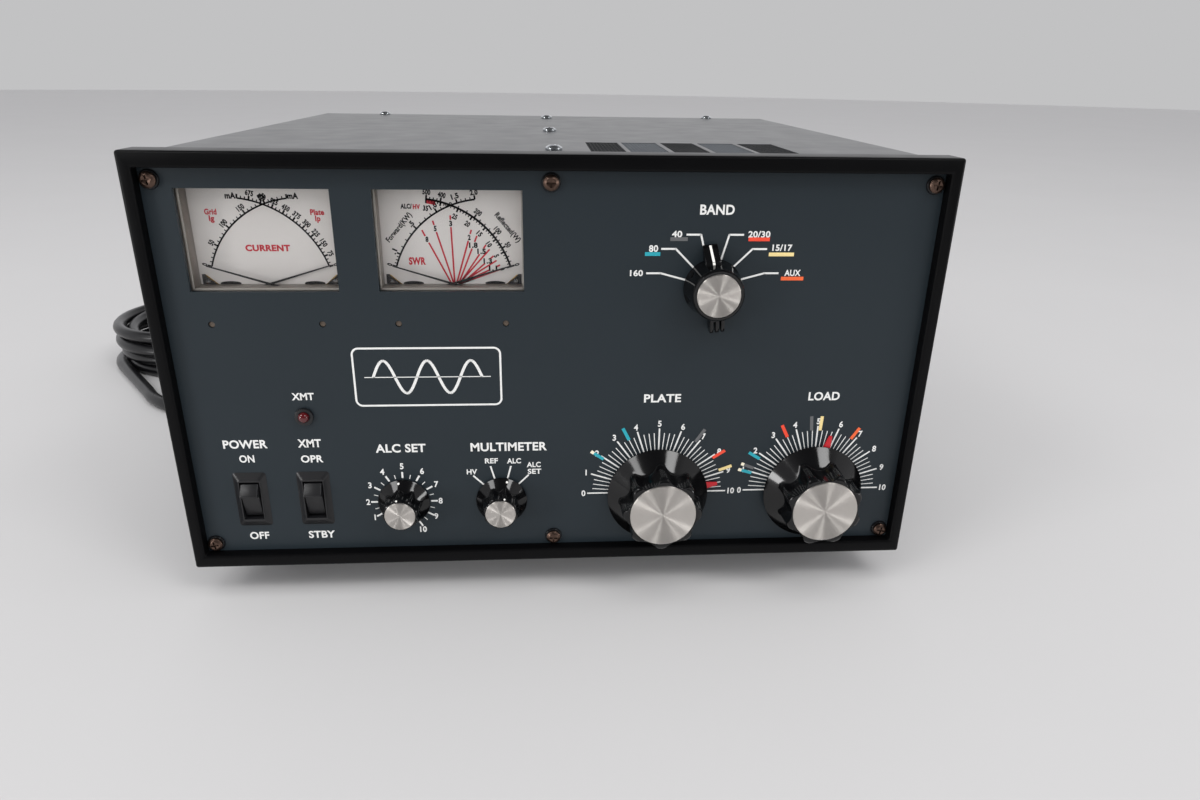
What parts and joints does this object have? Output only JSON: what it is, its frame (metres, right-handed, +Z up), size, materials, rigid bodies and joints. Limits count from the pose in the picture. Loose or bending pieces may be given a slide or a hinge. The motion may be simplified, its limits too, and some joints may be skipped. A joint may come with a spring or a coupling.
{
  "type": "hf linear amplifier",
  "caption": "Table-top radio amplifier in a black steel case, with two cross-needle meters, band, plate and load controls, rocker switches and a coiled mains lead.",
  "frame": {"origin": "middle of the case on the table, without the mains lead: halfway across the bezel and halfway from the plate knob's cap to the end of the earth stud", "axes": "+X to the right as seen from the front, +Y from the front panel to the rear, +Z up"},
  "size_m": [0.5619, 0.508, 0.2162],
  "materials": {
    "zinc_steel": "bright zinc-plated sheet",
    "panel_paint": "satin blue-grey enamel with white print",
    "bezel_plastic": "black moulded frame",
    "cover_paint": "fine textured black enamel",
    "rear_paint": "fine textured black enamel",
    "foot_rubber": "black rubber",
    "screw_zinc": "bright zinc",
    "screw_bronze": "dull bronze-brown plating",
    "washer_black": "blackened steel",
    "aluminium": "mill finish",
    "core_steel": "varnished silicon-steel laminations",
    "winding": "varnished paper over copper wire",
    "capacitor": "heat-shrink sleeve",
    "circuit_board": "solder-masked laminate",
    "ceramic": "glazed ceramic",
    "tube_glass": "clear glass",
    "graphite": "grey anode and cooler",
    "copper": "bare copper",
    "fan_black": "black moulding",
    "meter_black": "black moulding",
    "meter_face": "matt white scale plate with black and red print",
    "meter_clear": "clear window",
    "needle_black": "matt black",
    "switch_black": "black moulding",
    "lamp_red": "red lens",
    "knob_black": "glossy black phenolic",
    "knob_cap": "spun aluminium",
    "pointer_red": "red plastic",
    "brass": "turned brass",
    "nickel": "nickel plate",
    "cord_black": "black lead jacket and mouldings"
  },
  "bodies": {
    "cabinet": {"chassis_pan": "zinc_steel", "sub_panel": "zinc_steel", "front_panel": "panel_paint", "front_bezel": "bezel_plastic", "top_cover": "cover_paint", "vent_screen": "cover_paint", "rear_panel": "rear_paint", "rubber_feet": "foot_rubber", "cover_screws": "screw_zinc", "panel_screws": "screw_bronze", "cup_washers": "washer_black", "rf_shield": "zinc_steel", "transformer_core": "core_steel", "transformer_winding": "winding", "filter_capacitors": "capacitor", "circuit_boards": "circuit_board", "tube_socket": "ceramic", "tube_glass": "tube_glass", "tube_anode": "graphite", "tank_coils": "copper", "fan_housing": "fan_black", "meter_cases": "meter_black", "meter_dials": "meter_face", "meter_windows": "meter_clear", "switch_bodies": "switch_black", "lamp_holder": "switch_black", "lamp_lens": "lamp_red", "band_switch": "ceramic", "tuning_drives": "brass", "tuning_stators": "aluminium", "panel_controls": "nickel", "rear_sockets": "nickel", "rear_fittings": "fan_black", "cord_gland": "cord_black", "mains_cord": "cord_black", "cord_coil": "cord_black", "mains_plug": "cord_black"},
    "fan": {"fan_rotor": "fan_black"},
    "band_control": {"band_rotor": "brass", "band_knob": "knob_black", "band_cap": "knob_cap"},
    "plate_tuning": {"plate_rotor": "aluminium", "plate_pointer": "pointer_red"},
    "plate_control": {"plate_knob": "knob_black", "plate_cap": "knob_cap"},
    "load_tuning": {"load_rotor": "aluminium", "load_pointer": "pointer_red"},
    "load_control": {"load_knob": "knob_black", "load_cap": "knob_cap"},
    "alc_control": {"alc_knob": "knob_black", "alc_cap": "knob_cap"},
    "multimeter_control": {"multimeter_knob": "knob_black", "multimeter_cap": "knob_cap"},
    "power_switch": {"power_rocker": "switch_black"},
    "standby_switch": {"standby_rocker": "switch_black"},
    "grid_movement": {"grid_needle": "needle_black"},
    "plate_movement": {"plate_needle": "needle_black"},
    "forward_movement": {"forward_needle": "needle_black"},
    "reflected_movement": {"reflected_needle": "needle_black"}
  },
  "joints": [
    {"name": "fan_spin", "type": "hinge", "parent": "cabinet", "child": "fan", "pos_m": [0.062, 0.15, 0.096], "axis": [0, 1, 0], "continuous": true},
    {"name": "band_turn", "type": "hinge", "parent": "cabinet", "child": "band_control", "pos_m": [0.071, -0.166, 0.158], "axis": [0, 1, 0], "range_deg": [-67.5, 82.5]},
    {"name": "plate_rotor_turn", "type": "hinge", "parent": "cabinet", "child": "plate_tuning", "pos_m": [0.0501, -0.166, 0.0528], "axis": [0, 1, 0], "range_deg": [-171, 9]},
    {"name": "plate_knob_turn", "type": "hinge", "parent": "cabinet", "child": "plate_control", "pos_m": [0.0501, -0.166, 0.0528], "axis": [0, 1, 0], "range_deg": [-1026, 54]},
    {"name": "load_rotor_turn", "type": "hinge", "parent": "cabinet", "child": "load_tuning", "pos_m": [0.1289, -0.166, 0.053], "axis": [0, 1, 0], "range_deg": [-102.6, 77.4]},
    {"name": "load_knob_turn", "type": "hinge", "parent": "cabinet", "child": "load_control", "pos_m": [0.1289, -0.166, 0.053], "axis": [0, 1, 0], "range_deg": [-615.6, 464.4]},
    {"name": "alc_turn", "type": "hinge", "parent": "cabinet", "child": "alc_control", "pos_m": [-0.075, -0.166, 0.0502], "axis": [0, 1, 0], "range_deg": [-141, 159]},
    {"name": "multimeter_turn", "type": "hinge", "parent": "cabinet", "child": "multimeter_control", "pos_m": [-0.0273, -0.166, 0.0502], "axis": [0, 1, 0], "range_deg": [-60, 30]},
    {"name": "power_rock", "type": "hinge", "parent": "cabinet", "child": "power_switch", "pos_m": [-0.1474, -0.1635, 0.053], "axis": [-1, 0, 0], "range_deg": [0, 16]},
    {"name": "standby_rock", "type": "hinge", "parent": "cabinet", "child": "standby_switch", "pos_m": [-0.1176, -0.1635, 0.053], "axis": [-1, 0, 0], "range_deg": [0, 16]},
    {"name": "grid_needle_swing", "type": "hinge", "parent": "cabinet", "child": "grid_movement", "pos_m": [-0.1123, -0.166, 0.1525], "axis": [0, 1, 0], "range_deg": [0, 66], "stiffness_Nm_per_rad": 0.0001},
    {"name": "plate_needle_swing", "type": "hinge", "parent": "cabinet", "child": "plate_movement", "pos_m": [-0.1433, -0.166, 0.1525], "axis": [0, -1, 0], "range_deg": [0, 66], "stiffness_Nm_per_rad": 0.0001},
    {"name": "forward_needle_swing", "type": "hinge", "parent": "cabinet", "child": "forward_movement", "pos_m": [-0.0308, -0.166, 0.1525], "axis": [0, 1, 0], "range_deg": [0, 66], "stiffness_Nm_per_rad": 0.0001},
    {"name": "reflected_needle_swing", "type": "hinge", "parent": "cabinet", "child": "reflected_movement", "pos_m": [-0.0618, -0.166, 0.1525], "axis": [0, -1, 0], "range_deg": [0, 66], "stiffness_Nm_per_rad": 0.0001}
  ],
  "couplings": [
    {"joint": "plate_knob_turn", "follows": "plate_rotor_turn", "ratio": 6},
    {"joint": "load_knob_turn", "follows": "load_rotor_turn", "ratio": 6}
  ]
}
